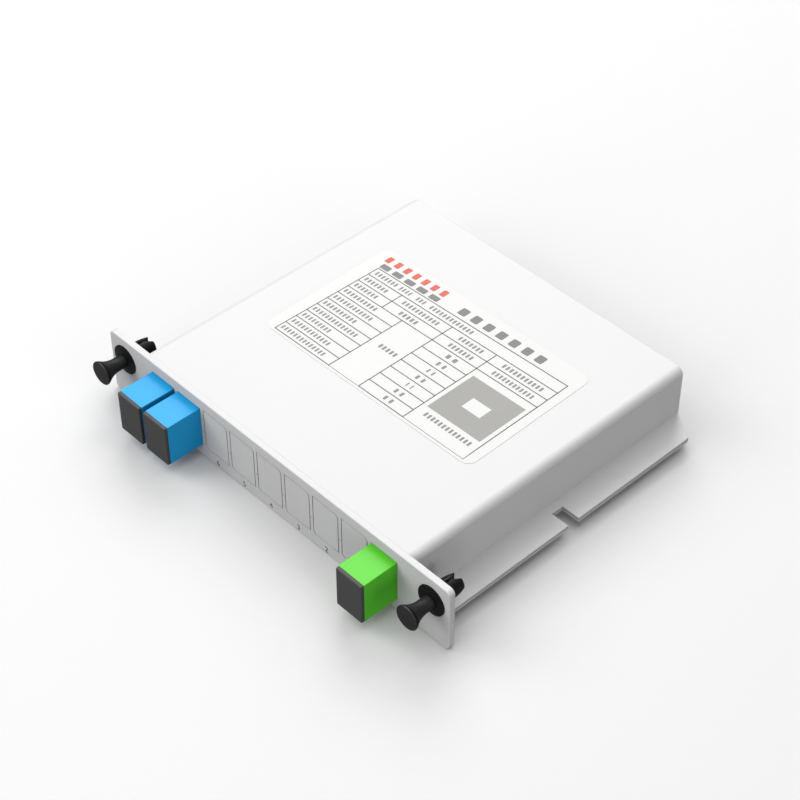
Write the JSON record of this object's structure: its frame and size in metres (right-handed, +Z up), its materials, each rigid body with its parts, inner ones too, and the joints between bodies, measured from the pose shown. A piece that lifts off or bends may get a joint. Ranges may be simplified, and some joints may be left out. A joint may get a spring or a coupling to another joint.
{
  "type": "plc fibre splitter",
  "caption": "Flat plug-in fibre splitter cassette: white case with side wings, front panel with capped fibre adapters and scored spare positions, and push-pull fasteners at its ends.",
  "frame": {"origin": "centre of the case's underside, half way between the back of the front panel and the rear wall", "axes": "+X along the front panel towards the input port, +Y to the rear of the case, +Z up out of the cover"},
  "size_m": [0.13, 0.1109, 0.0206],
  "materials": {
    "case_plastic": "moulded, satin, light grey-white",
    "label_film": "printed film, matt white",
    "green_plastic": "moulded, bright green",
    "blue_plastic": "moulded, bright blue",
    "cap_plastic": "moulded, soft black",
    "fastener_plastic": "moulded, satin black",
    "holder_plastic": "moulded, natural",
    "ceramic": "polished white ceramic",
    "module_steel": "drawn square tube",
    "boot_rubber": "moulded",
    "fibre_buffer": "extruded buffer",
    "screw_steel": "zinc plated"
  },
  "bodies": {
    "case": {"front_panel": "case_plastic", "top_cover": "case_plastic", "base_tray": "case_plastic", "label_sheet": "label_film", "grommet_left": "fastener_plastic", "grommet_right": "fastener_plastic", "splitter_module": "module_steel", "module_boot_left": "boot_rubber", "module_boot_right": "boot_rubber", "case_screws": "screw_steel", "fibre_in": "fibre_buffer", "fibre_out_7": "fibre_buffer", "fibre_out_8": "fibre_buffer", "adapter_in": "green_plastic", "holder_front_in": "holder_plastic", "holder_rear_in": "holder_plastic", "sleeve_in": "ceramic", "grip_in": "green_plastic", "plug_in": "holder_plastic", "ferrule_in": "ceramic", "boot_in": "boot_rubber", "adapter_out_7": "blue_plastic", "holder_front_out_7": "holder_plastic", "holder_rear_out_7": "holder_plastic", "sleeve_out_7": "ceramic", "grip_out_7": "blue_plastic", "plug_out_7": "holder_plastic", "ferrule_out_7": "ceramic", "boot_out_7": "boot_rubber", "adapter_out_8": "blue_plastic", "holder_front_out_8": "holder_plastic", "holder_rear_out_8": "holder_plastic", "sleeve_out_8": "ceramic", "grip_out_8": "blue_plastic", "plug_out_8": "holder_plastic", "ferrule_out_8": "ceramic", "boot_out_8": "boot_rubber"},
    "plunger_left": {"plunger_left": "fastener_plastic"},
    "plunger_right": {"plunger_right": "fastener_plastic"},
    "dust_cap_in": {"dust_cap_in": "cap_plastic"},
    "dust_cap_out_7": {"dust_cap_out_7": "cap_plastic"},
    "dust_cap_out_8": {"dust_cap_out_8": "cap_plastic"}
  },
  "joints": [
    {"name": "plunger_left_pull", "type": "slide", "parent": "case", "child": "plunger_left", "axis": [0, -1, 0], "range_m": [0, 0.005]},
    {"name": "plunger_right_pull", "type": "slide", "parent": "case", "child": "plunger_right", "axis": [0, -1, 0], "range_m": [0, 0.005]},
    {"name": "dust_cap_in_off", "type": "slide", "parent": "case", "child": "dust_cap_in", "axis": [0, -1, 0], "range_m": [0, 0.012]},
    {"name": "dust_cap_out_7_off", "type": "slide", "parent": "case", "child": "dust_cap_out_7", "axis": [0, -1, 0], "range_m": [0, 0.012]},
    {"name": "dust_cap_out_8_off", "type": "slide", "parent": "case", "child": "dust_cap_out_8", "axis": [0, -1, 0], "range_m": [0, 0.012]}
  ]
}
